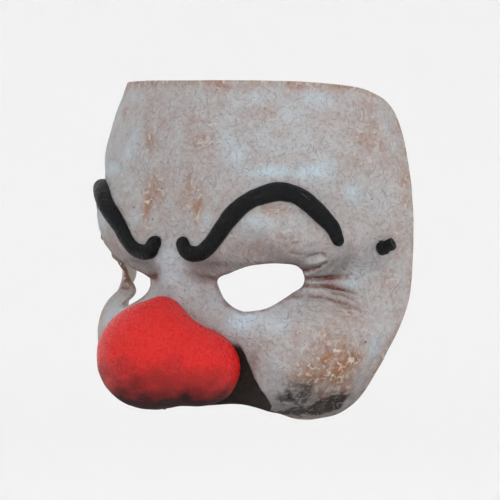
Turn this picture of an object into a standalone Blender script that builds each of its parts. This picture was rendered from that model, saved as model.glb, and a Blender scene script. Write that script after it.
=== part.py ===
"""Latex half mask of a clown: a moulded skin over brow, eyes and cheeks, a hollow bulb
nose, two raised brow rolls and the two knots that end the head elastic.

Metres, +Z up, -Y forward, +X to the viewer's right. The origin is on the midline, just
behind the skin over the bridge of the nose, where the mask seats on a face.
"""

import math

import bmesh
import bpy
import numpy as np
from mathutils.geometry import delaunay_2d_cdt

MM = 0.001

# Overall sizes of the skin
FACE_HEIGHT = 162 * MM
HALF_WIDTH = 89.2 * MM
FACE_DEPTH = 74 * MM
WALL = 2.0 * MM
GAP = 0.3 * MM

# Eye holes
EYE_WIDTH = 41.1 * MM
EYE_HEIGHT = 22.4 * MM
EYE_ACROSS = 42.7 * MM
EYE_DROP = 17.15 * MM

# Bulb nose
NOSE_RADIUS = 24.7 * MM
NOSE_FORWARD = 18.4 * MM
NOSE_DROP = 49.5 * MM
WING_RADIUS = 17.3 * MM
WING_ACROSS = 19.9 * MM
WING_DROP = 55.1 * MM
WING_BACK = -2.4 * MM
NOSE_LEDGE = 2.0 * MM
TONGUE_RADIUS = 5.9 * MM
TONGUE_RISE = 19.9 * MM
TONGUE_FORWARD = 7.1 * MM
NOSE_BLEND = 4.7 * MM

# Laugh lines
FOLD_DEPTH = 1.4 * MM
FOLD_REACH = 3.2 * MM

# Brow rolls
BROW_WIDTH = 7.6 * MM
BROW_HEIGHT = 4.0 * MM
BROW_SEAT = 0.42 * MM

# Elastic knots
SHANK_RADIUS = 1.7 * MM
KNOT_RADIUS = 3.3 * MM
KNOT_ACROSS = 103.8 * MM
KNOT_HEIGHT = 1.0 * MM
HEAD_RADIUS = 3.2 * MM
HEAD_THICK = 1.3 * MM

# Facet sizes
COARSE = 5.3 * MM
FINE = 3.3 * MM
STEP = 1.0 * MM
BROW_STATIONS = 38
NOSE_RAYS = 40
NOSE_RINGS = 12
KNOT_SIDES = 12

QUARTER = math.pi / 2
# Arc length of half the skin, from the midline round to its side edge
HALF_ARC = 0.77 * (HALF_WIDTH + FACE_DEPTH)

NOSE_MIDDLE = (0, -NOSE_FORWARD, -NOSE_DROP)
# Point inside the nose from which its rays run, and the polar angles its rim lies between
RAY_START = (0, 0.35 * NOSE_FORWARD, -1.05 * NOSE_DROP)
RIM_LEAST, RIM_MOST = 0.3, 2.4

# Level sections of the head, top to bottom: height as a share of FACE_HEIGHT, half width
# as a share of HALF_WIDTH, setback of the front as a share of FACE_DEPTH, squareness.
HEAD_FORM = (
    # height, half_width, setback, squareness
    (0.500, 0.790, 0.140, 1.92),
    (0.400, 0.882, 0.065, 1.85),
    (0.280, 0.950, 0.018, 1.89),
    (0.136, 0.992, 0.000, 1.72),
    (0.030, 1.000, 0.000, 1.88),
    (-0.093, 0.990, 0.030, 1.81),
    (-0.200, 0.962, 0.012, 1.84),
    (-0.300, 0.905, 0.010, 1.92),
    (-0.400, 0.820, 0.020, 2.05),
    (-0.480, 0.735, 0.040, 2.10),
    (-0.580, 0.620, 0.080, 2.10),
)

# Swells and hollows of each half: place across as a share of HALF_ARC and up as a share
# of FACE_HEIGHT, reach across and up in the same shares, tilt in degrees, and lift as a
# share of FACE_DEPTH, where a hollow is below nought.
RELIEF = (
    # across, up, reach_across, reach_up, tilt, lift
    (0.596, -0.101, 0.230, 0.073, 4, -0.153),  # eye socket
    (0.419, -0.120, 0.084, 0.059, 0, -0.104),  # lids, drawn in round the hole
    (0.557, -0.110, 0.061, 0.059, 0, 0.051),  # swell beside the outer corner
    (0.158, -0.115, 0.110, 0.070, -10, -0.066),  # inner corner of the eye
    (0.724, 0.022, 0.174, 0.169, 0, -0.084),  # temple
    (0.511, -0.285, 0.240, 0.145, -20, 0.078),  # cheek
    (0.560, -0.570, 0.360, 0.095, 0, -0.240),  # under the cheek
    (0.270, -0.400, 0.130, 0.120, 20, -0.110),  # upper lip beside the nose
    (0.000, -0.090, 0.075, 0.100, 0, 0.051),  # bridge of the nose
    (0.346, 0.111, 0.144, 0.092, 12, 0.135),  # brow ridge
    (0.159, 0.004, 0.115, 0.075, 0, 0.046),  # inner end of the brow
    (0.000, 0.056, 0.090, 0.060, 0, -0.029),  # frown dent
)

# Laugh lines beside each eye: both ends and the sag of the line between them, in shares
# of HALF_ARC across and of FACE_HEIGHT up, and lift in shares of FOLD_DEPTH.
FOLDS = (
    # across, up, end_across, end_up, sag, lift
    (0.513, -0.066, 0.631, -0.023, 0.008, 0.9),  # roll under the end of the brow
    (0.523, -0.085, 0.690, -0.082, 0.002, -1.0),  # line out of the corner of the eye
    (0.532, -0.103, 0.716, -0.126, -0.004, -0.8),  # second line
    (0.474, -0.135, 0.761, -0.184, -0.016, -1.0),  # top of the cheek
)

# Patches of the skin with small facets, round the eye and round the nose: middle across
# and up, reach across and up, in shares of HALF_ARC and of FACE_HEIGHT.
DETAIL = (
    # across, up, reach_across, reach_up
    (0.50, -0.09, 0.34, 0.10),
    (0.00, -0.30, 0.34, 0.20),
)

# Edge of the skin, right half, from the top middle round to the bottom middle: place
# across as a share of HALF_ARC and up as a share of FACE_HEIGHT.
SKIN_EDGE = (
    # across, up
    (0.000, 0.497),
    (0.271, 0.497),
    (0.532, 0.493),
    (0.735, 0.483),
    (0.850, 0.469),
    (0.946, 0.438),
    (0.992, 0.385),
    (1.000, 0.310),
    (1.000, 0.200),
    (1.000, 0.060),
    (1.000, -0.080),
    (0.990, -0.138),
    (0.959, -0.197),
    (0.916, -0.282),
    (0.889, -0.376),
    (0.874, -0.458),
    (0.847, -0.506),
    (0.792, -0.533),
    (0.726, -0.547),
    (0.657, -0.544),
    (0.581, -0.525),
    (0.497, -0.499),
    (0.384, -0.471),
    (0.273, -0.461),
    (0.125, -0.457),
    (0.000, -0.457),
)

# Eye hole, from its inner corner over the upper lid and back: place along as a share of
# EYE_WIDTH and up as a share of EYE_HEIGHT, both from the middle of the hole.
EYE_EDGE = (
    # along, up
    (-0.500, 0.064),
    (-0.451, 0.190),
    (-0.316, 0.292),
    (-0.185, 0.401),
    (-0.062, 0.472),
    (0.107, 0.500),
    (0.288, 0.469),
    (0.397, 0.416),
    (0.469, 0.289),
    (0.500, 0.120),
    (0.462, -0.020),
    (0.374, -0.110),
    (0.226, -0.283),
    (0.093, -0.433),
    (-0.109, -0.499),
    (-0.216, -0.455),
    (-0.327, -0.341),
    (-0.429, -0.175),
)

# Centreline of a brow roll, from its inner curl to its outer end: place across as a share
# of HALF_ARC and up as a share of FACE_HEIGHT.
BROW_LINE = (
    # across, up
    (0.072, 0.018),
    (0.089, 0.000),
    (0.129, -0.004),
    (0.172, 0.012),
    (0.233, 0.064),
    (0.283, 0.103),
    (0.345, 0.150),
    (0.411, 0.174),
    (0.457, 0.171),
    (0.497, 0.156),
    (0.563, 0.106),
    (0.606, 0.072),
    (0.629, 0.036),
)

# Section of a brow roll: place over its half width and lift over its height.
BROW_SECTION = (
    # place, lift
    (-1.00, 0.00),
    (-0.87, 0.50),
    (-0.50, 0.87),
    (0.00, 1.00),
    (0.50, 0.87),
    (0.87, 0.50),
    (1.00, 0.00),
    (0.40, 0.00),
    (-0.40, 0.00),
)

# Knot of the elastic, from the flat head behind the skin out to its cut end: place along
# its path and radius as shares of KNOT_RADIUS, from the outer face of the skin. The path
# bends by KNOT_BEND over its first BENT_BY, to a way along the skin that runs back and up,
# KNOT_LEAN off straight up.
KNOT_FORM = (
    # along, radius
    (0.15, 0.62),
    (0.38, 0.95),
    (0.75, 1.06),
    (1.12, 0.98),
    (1.35, 0.84),
    (1.55, 0.86),
    (2.20, 0.90),
    (2.50, 0.82),
)
KNOT_BEND = math.radians(62)
BENT_BY = 1.2
KNOT_LEAN = math.radians(53)


def clear_scene():
    for item in list(bpy.data.objects):
        bpy.data.objects.remove(item)


def table_curve(places, values, at):
    """Values of a table read at places between its rows, as a smooth monotone curve."""
    order = np.argsort(places)
    x, y = np.asarray(places)[order], np.asarray(values)[order]
    step, slope = np.diff(x), np.diff(y) / np.diff(x)
    tangent = np.zeros_like(y)
    rising = slope[:-1] * slope[1:] > 0
    mean = 2 * slope[:-1] * slope[1:] / np.where(rising, slope[:-1] + slope[1:], 1)
    tangent[1:-1] = np.where(rising, mean, 0)
    tangent[0], tangent[-1] = slope[0], slope[-1]
    at = np.clip(at, x[0], x[-1])
    i = np.clip(np.searchsorted(x, at) - 1, 0, len(step) - 1)
    h = step[i]
    u = (at - x[i]) / h
    return (
        y[i] * (1 + 2 * u) * (1 - u) ** 2
        + h * tangent[i] * u * (1 - u) ** 2
        + y[i + 1] * u * u * (3 - 2 * u)
        + h * tangent[i + 1] * u * u * (u - 1)
    )


def spline(points, closed=False, parts=8):
    """A Catmull-Rom curve through the points, with parts steps to each stretch."""
    p = np.asarray(points, float)
    if closed:
        p = np.vstack([p[-1], p, p[0], p[1]])
    else:
        p = np.vstack([2 * p[0] - p[1], p, 2 * p[-1] - p[-2]])
    u = (np.arange(parts) / parts)[:, None]
    runs = [
        0.5
        * (
            2 * b
            + (c - a) * u
            + (2 * a - 5 * b + 4 * c - d) * u**2
            + (3 * b - a - 3 * c + d) * u**3
        )
        for a, b, c, d in zip(p[:-3], p[1:-2], p[2:-1], p[3:])
    ]
    curve = np.vstack(runs)
    return curve if closed else np.vstack([curve, p[-2]])


def evenly(curve, spacing, closed=False):
    """Points at even steps of about spacing along a curve."""
    if closed:
        curve = np.vstack([curve, curve[0]])
    along = np.append(0, np.cumsum(np.linalg.norm(np.diff(curve, axis=0), axis=1)))
    count = max(3, round(along[-1] / spacing))
    at = np.linspace(0, along[-1], count + 1)
    if closed:
        at = at[:-1]
    return np.stack([np.interp(at, along, curve[:, k]) for k in range(2)], axis=1)


def head_point(across, up):
    """The plain head form, for places across and up in metres along the skin."""
    columns = np.array(HEAD_FORM).T
    share = up / FACE_HEIGHT
    half = table_curve(columns[0], columns[1], share) * HALF_WIDTH
    setback = table_curve(columns[0], columns[2], share) * FACE_DEPTH
    power = 2 / table_curve(columns[0], columns[3], share)
    turn = np.clip(across / HALF_ARC, -1, 1) * QUARTER
    x = half * np.sign(turn) * np.abs(np.sin(turn)) ** power
    y = FACE_DEPTH - WALL - (FACE_DEPTH - setback) * np.abs(np.cos(turn)) ** power
    return np.stack([x, y, up + 0 * x], axis=-1)


def relief(across, up):
    """How far the skin is lifted off the plain head form."""
    lift = np.zeros_like(across + up)
    for row_across, row_up, reach_across, reach_up, tilt, height in RELIEF:
        du = (np.abs(across) / HALF_ARC - row_across) * HALF_ARC
        dv = up - row_up * FACE_HEIGHT
        c, s = math.cos(math.radians(tilt)), math.sin(math.radians(tilt))
        u = (du * c + dv * s) / (reach_across * HALF_ARC)
        v = (dv * c - du * s) / (reach_up * FACE_HEIGHT)
        lift = lift + height * FACE_DEPTH * np.exp(-(u * u + v * v))
    for start_across, start_up, end_across, end_up, sag, height in FOLDS:
        span = (end_across - start_across) * HALF_ARC
        u = (np.abs(across) - start_across * HALF_ARC) / span
        line = start_up + (end_up - start_up) * u - 4 * sag * u * (1 - u)
        v = (up - line * FACE_HEIGHT) / FOLD_REACH
        fade = np.clip(4 * u * (1 - u), 0, 1) ** 0.5
        lift = lift + height * FOLD_DEPTH * fade * np.exp(-v * v)
    return lift


def normals_of(surface, across, up):
    """Outward unit normals of a surface that is given by places across and up."""
    step = 0.4 * STEP
    a = surface(across + step, up) - surface(across - step, up)
    b = surface(across, up + step) - surface(across, up - step)
    n = np.cross(a, b)
    return n / np.linalg.norm(n, axis=-1, keepdims=True)


def bare_skin(across, up):
    inset = np.clip(across, -0.995 * HALF_ARC, 0.995 * HALF_ARC)
    n = normals_of(head_point, inset, up)
    return head_point(across, up) + n * relief(across, up)[..., None]


def skin_point(across, up, lift=0.0):
    """Points on the outer face of the skin, or lifted off it."""
    point = bare_skin(across, up)
    inset = np.clip(across, -0.99 * HALF_ARC, 0.99 * HALF_ARC)
    return point + normals_of(bare_skin, inset, up) * np.asarray(lift)[..., None]


def skin_places(x, z, lift=0.0):
    """Places across and up whose skin points have the given x and z."""
    across, up = x, z + 0 * x
    for _ in range(7):
        p = skin_point(across, up, lift)
        side = skin_point(across + STEP, up, lift)
        slope = np.maximum((side - p)[..., 0] / STEP, 0.2)
        across = across + (x - p[..., 0]) / slope
        up = up + (z - p[..., 2])
    return across, up


def inside(points, loop):
    """Which points lie inside a closed loop."""
    x, y = points[:, 0:1], points[:, 1:2]
    a, b = loop, np.roll(loop, -1, axis=0)
    crosses = (a[:, 1] > y) != (b[:, 1] > y)
    rise = np.where(b[:, 1] == a[:, 1], 1, b[:, 1] - a[:, 1])
    at = a[:, 0] + (y - a[:, 1]) / rise * (b[:, 0] - a[:, 0])
    return (crosses & (x < at)).sum(axis=1) % 2 == 1


def away_from(points, others, distance):
    """Which points lie at least a distance from all the others."""
    keep = np.ones(len(points), bool)
    for other in others:
        keep &= np.hypot(*(points - other).T) >= distance
    return keep


def skin_edge():
    right = np.array(SKIN_EDGE) * (HALF_ARC, FACE_HEIGHT)
    left = right[-2:0:-1] * (-1, 1)
    return spline(np.vstack([right, left]), closed=True)


def eye_edge(side):
    shape = np.array(EYE_EDGE) * (EYE_WIDTH, EYE_HEIGHT) + (EYE_ACROSS, -EYE_DROP)
    loop = spline(shape, closed=True, parts=4) * (side, 1)
    return loop[::side]


def skin_stretch(across, up):
    """Real length on the skin of a unit step across and of a unit step up."""
    a = skin_point(across + STEP, up) - skin_point(across - STEP, up)
    b = skin_point(across, up + STEP) - skin_point(across, up - STEP)
    return np.linalg.norm(a, axis=-1) / (2 * STEP), np.linalg.norm(b, axis=-1) / (2 * STEP)


def ring_turns():
    return np.arange(KNOT_SIDES) * 2 * math.pi / KNOT_SIDES


def strap_hole(side):
    """A hole in the skin that clears the shank, flat face to flat face."""
    turns = ring_turns()
    seat = np.array([side * KNOT_ACROSS]), np.array([KNOT_HEIGHT])
    ring = np.stack([np.cos(turns), np.sin(turns)], axis=1)
    radius = (SHANK_RADIUS + GAP) / math.cos(math.pi / KNOT_SIDES)
    return ring * radius / np.hstack(skin_stretch(*seat)) + np.hstack(seat)


def blend(distances, radius):
    """Smooth union of distances to several forms, rounded by radius where they meet."""
    total = sum(np.exp(-d / radius) for d in distances)
    return -radius * np.log(total)


def nose_distance(p):
    """About how far points lie outside the bulb nose: a ball, two wings and a tongue."""
    ball = np.linalg.norm(p - NOSE_MIDDLE, axis=-1) - NOSE_RADIUS
    wings = [
        np.linalg.norm(p - (side * WING_ACROSS, WING_BACK, -WING_DROP), axis=-1) - WING_RADIUS
        for side in (-1, 1)
    ]
    z = np.clip(p[..., 2], -NOSE_DROP, -NOSE_DROP + TONGUE_RISE)
    core = np.stack([0 * z, 0 * z - TONGUE_FORWARD, z], axis=-1)
    tongue = np.linalg.norm(p - core, axis=-1) - TONGUE_RADIUS
    return blend([ball, *wings, tongue], NOSE_BLEND)


def nose_point(polar, turn, inset=0.0):
    """Points of the nose on rays from its middle, inset behind its outer face."""
    ray = np.stack(
        [np.sin(polar) * np.cos(turn), -np.cos(polar), np.sin(polar) * np.sin(turn)],
        axis=-1,
    )
    near, far = np.zeros_like(polar), np.full_like(polar, 3 * NOSE_RADIUS)
    for _ in range(24):
        mid = (near + far) / 2
        within = nose_distance(RAY_START + ray * mid[..., None]) < -inset
        near, far = np.where(within, mid, near), np.where(within, far, mid)
    return RAY_START + ray * near[..., None]


def nose_rim(turn, inset=0.0, lift=0.0):
    """Polar angles at which the nose meets the lifted skin."""
    low, high = np.full_like(turn, RIM_LEAST), np.full_like(turn, RIM_MOST)
    for _ in range(18):
        mid = (low + high) / 2
        p = nose_point(mid, turn, inset)
        across, up = skin_places(p[..., 0], p[..., 2], lift)
        ahead = p[..., 1] < skin_point(across, up, lift)[..., 1]
        low, high = np.where(ahead, mid, low), np.where(ahead, high, mid)
    return low


def nose_footprint(inset):
    """The loop on the skin where the inset nose meets it."""
    turn = np.linspace(0, 2 * math.pi, NOSE_RAYS + 1)[:-1]
    p = nose_point(nose_rim(turn, inset), turn, inset)
    return np.stack(skin_places(p[:, 0], p[:, 2]), axis=1)


def lattice(spacing):
    """Points of a triangular lattice that covers the skin, even about the midline."""
    rows = np.arange(-0.55 * FACE_HEIGHT, 0.55 * FACE_HEIGHT, spacing * math.sqrt(0.75))
    half = np.arange(0, 1.05 * HALF_ARC, spacing)
    points = []
    for k, z in enumerate(rows):
        x = half if k % 2 == 0 else half + spacing / 2
        x = np.append(-x[::-1], x[x > 0])
        points.append(np.stack([x, 0 * x + z], axis=1))
    return np.vstack(points)


def detailed(points):
    """Which places lie where the skin turns most: eyes, nose surround and brows."""
    x, z = np.abs(points[:, 0]) / HALF_ARC, points[:, 1] / FACE_HEIGHT
    return np.any(
        [np.hypot((x - across) / w, (z - up) / h) < 1 for across, up, w, h in DETAIL], axis=0
    )


def skin_sheet():
    """The skin as flat places and triangles, trimmed at its edges and openings."""
    outer = evenly(skin_edge(), 0.8 * COARSE, closed=True)
    opening = nose_footprint(WALL + NOSE_LEDGE)
    holes = [evenly(eye_edge(side), 0.75 * FINE, closed=True) for side in (-1, 1)]
    holes += [opening, strap_hole(-1), strap_hole(1)]
    seat = nose_footprint(0.5 * WALL)
    coarse, fine = lattice(COARSE), lattice(FINE)
    field = np.vstack([coarse[~detailed(coarse)], fine[detailed(fine)]])
    keep = inside(field, outer)
    for hole in holes:
        keep &= ~inside(field, hole)
    field = field[keep]
    field = field[away_from(field, outer, 0.5 * COARSE)]
    field = field[away_from(field, np.vstack([seat, *holes]), 0.6 * FINE)]
    points, edges = [], []
    for loop in [outer, *holes]:
        first = len(points)
        points.extend(loop)
        count = len(loop)
        edges += [(first + i, first + (i + 1) % count) for i in range(count)]
    points += [*seat, *field]
    places, _, faces, *_ = delaunay_2d_cdt(points, edges, [], 2, 1e-7)
    places = np.array(places)
    middles = np.array([places[list(face)].mean(axis=0) for face in faces])
    cut = np.any([inside(middles, hole) for hole in holes], axis=0)
    return places, [face for face, gone in zip(faces, cut) if not gone]


def new_object(name, bm, material):
    mesh = bpy.data.meshes.new(name)
    bm.to_mesh(mesh)
    bm.free()
    mesh.materials.append(material)
    mesh.shade_smooth()
    mesh.set_sharp_from_angle(angle=math.radians(45))
    made = bpy.data.objects.new(name, mesh)
    bpy.context.scene.collection.objects.link(made)
    return made


def latex(name, colour, roughness):
    material = bpy.data.materials.new(name)
    material.use_nodes = True
    shader = material.node_tree.nodes["Principled BSDF"]
    shader.inputs["Base Color"].default_value = (*colour, 1)
    shader.inputs["Roughness"].default_value = roughness
    shader.inputs["Metallic"].default_value = 0
    return material


def make_face_shell(material):
    places, faces = skin_sheet()
    bm = bmesh.new()
    verts = [bm.verts.new(p) for p in skin_point(places[:, 0], places[:, 1])]
    for face in faces:
        bm.faces.new([verts[i] for i in face])
    bmesh.ops.recalc_face_normals(bm, faces=bm.faces)
    front = min(bm.faces, key=lambda f: f.calc_center_median().y)
    if front.normal.y > 0:
        bmesh.ops.reverse_faces(bm, faces=bm.faces)
    shell = new_object("face_shell", bm, material)
    wall = shell.modifiers.new("Wall", "SOLIDIFY")
    wall.thickness = WALL
    wall.offset = -1
    return shell


def make_nose(material):
    """Outer and inner faces of the bulb, joined by the rim that seats on the skin."""
    turn = np.linspace(0, 2 * math.pi, NOSE_RAYS + 1)[:-1]
    share = np.arange(1, NOSE_RINGS + 1)[:, None] / NOSE_RINGS
    bm = bmesh.new()
    skins = []
    for inset in (0, WALL):
        polar = share * nose_rim(turn, inset, GAP)
        rows = nose_point(polar, turn + 0 * polar, inset)
        rings = [[bm.verts.new(p) for p in row] for row in rows]
        tip = bm.verts.new(nose_point(np.zeros(1), np.zeros(1), inset)[0])
        skins.append((tip, rings))
    for flip, (tip, rings) in zip((False, True), skins):
        for i in range(NOSE_RAYS):
            j = (i + 1) % NOSE_RAYS
            fan = [tip, rings[0][i], rings[0][j]]
            bm.faces.new(fan[::-1] if flip else fan)
            for a, b in zip(rings, rings[1:]):
                quad = [a[i], b[i], b[j], a[j]]
                bm.faces.new(quad[::-1] if flip else quad)
    outer, inner = skins[0][1][-1], skins[1][1][-1]
    for i in range(NOSE_RAYS):
        j = (i + 1) % NOSE_RAYS
        bm.faces.new([outer[i], inner[i], inner[j], outer[j]])
    bmesh.ops.recalc_face_normals(bm, faces=bm.faces)
    return new_object("nose", bm, material)


def brow_stations(side):
    """Places along a brow roll, the way across it there and its half width there."""
    line = evenly(spline(np.array(BROW_LINE) * (HALF_ARC, FACE_HEIGHT)), STEP) * (side, 1)
    along = np.append(0, np.cumsum(np.hypot(*np.diff(line, axis=0).T)))
    radius, total = BROW_WIDTH / 2, along[-1]
    share = np.linspace(0, 1, BROW_STATIONS + 1)
    share = (share + (1 - np.cos(math.pi * share)) / 2) / 2
    run = (total + 2 * radius) * share - radius
    core = np.clip(run, 0, total)
    before, at, after = (
        np.stack([np.interp(core + d, along, line[:, k]) for k in range(2)], axis=1)
        for d in (-STEP, 0, STEP)
    )
    way = (after - before) / np.linalg.norm(after - before, axis=1, keepdims=True)
    across = np.stack([-way[:, 1], way[:, 0]], axis=1)
    half = np.sqrt(np.maximum(radius**2 - (run - core) ** 2, 0))
    return at + way * (run - core)[:, None], across, half


def make_brow(side, material):
    """A domed roll with round ends, laid along its line on the skin."""
    at, across, half = brow_stations(side)
    place, lift = np.array(BROW_SECTION).T
    bm = bmesh.new()
    rings = []
    for middle, way, reach in zip(at[1:-1], across[1:-1], half[1:-1]):
        places = middle + way * (place * reach)[:, None]
        height = BROW_SEAT + lift * BROW_HEIGHT * reach * 2 / BROW_WIDTH
        points = skin_point(places[:, 0], places[:, 1], height)
        rings.append([bm.verts.new(p) for p in points])
    first, last = (bm.verts.new(skin_point(*at[k][:, None], BROW_SEAT)[0]) for k in (0, -1))
    for i in range(len(place)):
        j = (i + 1) % len(place)
        bm.faces.new([first, rings[0][i], rings[0][j]])
        bm.faces.new([last, rings[-1][j], rings[-1][i]])
        for a, b in zip(rings, rings[1:]):
            bm.faces.new([a[i], b[i], b[j], a[j]])
    bmesh.ops.recalc_face_normals(bm, faces=bm.faces)
    return new_object("brow_left" if side < 0 else "brow_right", bm, material)


def make_knot(side, material):
    """A plain head and shank through the skin, and the knot and cut end outside it."""
    place = np.array([side * KNOT_ACROSS]), np.array([KNOT_HEIGHT])
    seat = skin_point(*place)[0]
    out = skin_point(*place, 1.0)[0] - seat
    rise = np.array((0, 0, 1.0)) - out * out[2]
    rise /= np.linalg.norm(rise)
    back = np.cross(rise, out) * side
    lean = rise * math.cos(KNOT_LEAN) + back * math.sin(KNOT_LEAN)
    hinge = np.cross(out, lean) * side
    behind = WALL + GAP
    rings = [
        (seat - out * (behind + HEAD_THICK), out, HEAD_RADIUS),
        (seat - out * behind, out, HEAD_RADIUS),
        (seat - out * behind, out, SHANK_RADIUS),
        (seat + out * GAP, out, SHANK_RADIUS),
    ]
    centre = seat + out * GAP
    last = 0.0
    for along, radius in KNOT_FORM:
        angle = KNOT_BEND * min(1.0, along / BENT_BY)
        heading = out * math.cos(angle) + lean * math.sin(angle)
        centre = centre + heading * (along - last) * KNOT_RADIUS
        last = along
        rings.append((centre, heading, radius * KNOT_RADIUS))
    bm = bmesh.new()
    loops = []
    for middle, heading, radius in rings:
        u = np.cross(heading, hinge)
        u /= np.linalg.norm(u)
        v = np.cross(heading, u)
        spokes = [u * math.cos(a) + v * math.sin(a) for a in ring_turns()]
        loops.append([bm.verts.new(middle + spoke * radius) for spoke in spokes])
    for a, b in zip(loops, loops[1:]):
        for i in range(len(a)):
            j = (i + 1) % len(a)
            bm.faces.new([a[i], b[i], b[j], a[j]])
    bm.faces.new(loops[0][::-1])
    bm.faces.new(loops[-1])
    bmesh.ops.recalc_face_normals(bm, faces=bm.faces)
    return new_object("strap_knot_left" if side < 0 else "strap_knot_right", bm, material)


def main():
    clear_scene()
    flesh = latex("flesh_latex", (0.62, 0.53, 0.48), 0.6)
    red = latex("red_latex", (0.75, 0.03, 0.02), 0.3)
    black = latex("black_latex", (0.015, 0.014, 0.016), 0.35)
    make_face_shell(flesh)
    make_nose(red)
    for side in (-1, 1):
        make_brow(side, black)
        make_knot(side, black)


if __name__ == "__main__":
    main()
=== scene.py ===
"""Dresses the latex clown half mask: wrinkled painted skin, glossy nose, black brow rolls
and the knots of the head elastic. Metres, +Z up, -Y forward."""

import math

import bpy
import numpy as np
from bpy.props import FloatProperty, FloatVectorProperty, IntProperty, PointerProperty
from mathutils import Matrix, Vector, noise
from mathutils.geometry import delaunay_2d_cdt


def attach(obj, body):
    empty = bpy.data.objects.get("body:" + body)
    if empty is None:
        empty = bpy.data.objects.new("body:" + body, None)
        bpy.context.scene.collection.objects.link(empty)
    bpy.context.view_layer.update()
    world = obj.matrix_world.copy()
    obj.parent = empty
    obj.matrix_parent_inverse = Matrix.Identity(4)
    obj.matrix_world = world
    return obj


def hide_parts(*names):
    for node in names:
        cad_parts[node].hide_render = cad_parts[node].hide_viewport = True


bl_info = {
    "name": "Latex Clown Half Mask",
    "version": (1, 0, 0),
    "blender": (4, 5, 0),
    "location": "View3D > Sidebar > Half Mask",
    "description": "Builds the painted latex pieces of a clown half mask on its packed frame",
    "category": "Object",
}

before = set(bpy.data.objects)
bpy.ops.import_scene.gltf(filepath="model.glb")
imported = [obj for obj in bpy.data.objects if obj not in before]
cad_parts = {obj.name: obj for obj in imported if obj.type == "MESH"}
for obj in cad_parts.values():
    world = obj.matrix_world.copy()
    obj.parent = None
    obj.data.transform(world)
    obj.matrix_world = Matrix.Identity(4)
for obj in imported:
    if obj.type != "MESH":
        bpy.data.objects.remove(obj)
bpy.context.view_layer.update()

MM = 0.001
QUARTER = math.pi / 2
STEP = 1.0 * MM

# Clearance between pieces, and how far a brow roll lies off the skin
GAP = 0.3 * MM
BROW_SEAT = 0.42 * MM

# Eye hole: its size, and its middle beside and below the bridge of the nose
EYE_WIDTH = 41.1 * MM
EYE_HEIGHT = 22.4 * MM
EYE_ACROSS = 42.7 * MM
EYE_DROP = 17.15 * MM

# Nose: its wings, the tongue that runs up the bridge, the rounding between them, the ledge
# of skin behind its rim, and the least and most polar angle of the rim in radians
WING_ACROSS = 19.9 * MM
WING_BACK = -2.4 * MM
WING_DROP = 55.1 * MM
TONGUE_RADIUS = 5.9 * MM
TONGUE_RISE = 19.9 * MM
TONGUE_FORWARD = 7.1 * MM
NOSE_BLEND = 4.7 * MM
NOSE_LEDGE = 2.0 * MM
RIM_LEAST, RIM_MOST = 0.3, 2.4

# Knot: its place on the skin, the angle its path turns by, the share of the path that takes,
# and how far back from straight up it ends
KNOT_ACROSS = 103.8 * MM
KNOT_HEIGHT = 1.0 * MM
KNOT_BEND = math.radians(62)
BENT_BY = 1.2
KNOT_LEAN = math.radians(53)

# Level sections of the head, top to bottom: height as a share of the face height, half
# width as a share of the mask's, setback of the front as a share of the depth, squareness.
HEAD_FORM = (
    # height, half_width, setback, squareness
    (0.5, 0.79, 0.14, 1.92),
    (0.4, 0.882, 0.065, 1.85),
    (0.28, 0.95, 0.018, 1.89),
    (0.136, 0.992, 0.0, 1.72),
    (0.03, 1.0, 0.0, 1.88),
    (-0.093, 0.99, 0.03, 1.81),
    (-0.2, 0.962, 0.012, 1.84),
    (-0.3, 0.905, 0.01, 1.92),
    (-0.4, 0.82, 0.02, 2.05),
    (-0.48, 0.735, 0.04, 2.1),
    (-0.58, 0.62, 0.08, 2.1),
)

# Swells and hollows of each half: place across as a share of the half arc and up as a share
# of the face height, reach in the same shares, tilt in degrees, lift as a share of depth.
RELIEF = (
    # across, up, reach_across, reach_up, tilt, lift
    (0.596, -0.101, 0.23, 0.073, 4, -0.153),  # eye socket
    (0.419, -0.12, 0.084, 0.059, 0, -0.104),  # lids, drawn in round the hole
    (0.557, -0.11, 0.061, 0.059, 0, 0.051),  # swell beside the outer corner
    (0.158, -0.115, 0.11, 0.07, -10, -0.066),  # inner corner of the eye
    (0.724, 0.022, 0.174, 0.169, 0, -0.084),  # temple
    (0.511, -0.285, 0.24, 0.145, -20, 0.078),  # cheek
    (0.56, -0.57, 0.36, 0.095, 0, -0.24),  # under the cheek
    (0.27, -0.4, 0.13, 0.12, 20, -0.11),  # upper lip beside the nose
    (0.0, -0.09, 0.075, 0.1, 0, 0.051),  # bridge of the nose
    (0.346, 0.111, 0.144, 0.092, 12, 0.135),  # brow ridge
    (0.159, 0.004, 0.115, 0.075, 0, 0.046),  # inner end of the brow
    (0.0, 0.056, 0.09, 0.06, 0, -0.029),  # frown dent
)

# Laugh lines and lid folds: both ends, the sag between them, the half width in millimetres
# and the lift in shares of the fold depth.
FOLDS = (
    # across, up, end_across, end_up, sag, reach, lift
    (0.513, -0.066, 0.631, -0.023, 0.008, 3.2, 0.9),  # roll under the end of the brow
    (0.523, -0.085, 0.69, -0.082, 0.002, 3.2, -1.0),  # line out of the corner of the eye
    (0.532, -0.103, 0.716, -0.126, -0.004, 3.2, -0.8),  # second line
    (0.474, -0.135, 0.761, -0.184, -0.016, 3.2, -1.0),  # top of the cheek
)

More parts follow.
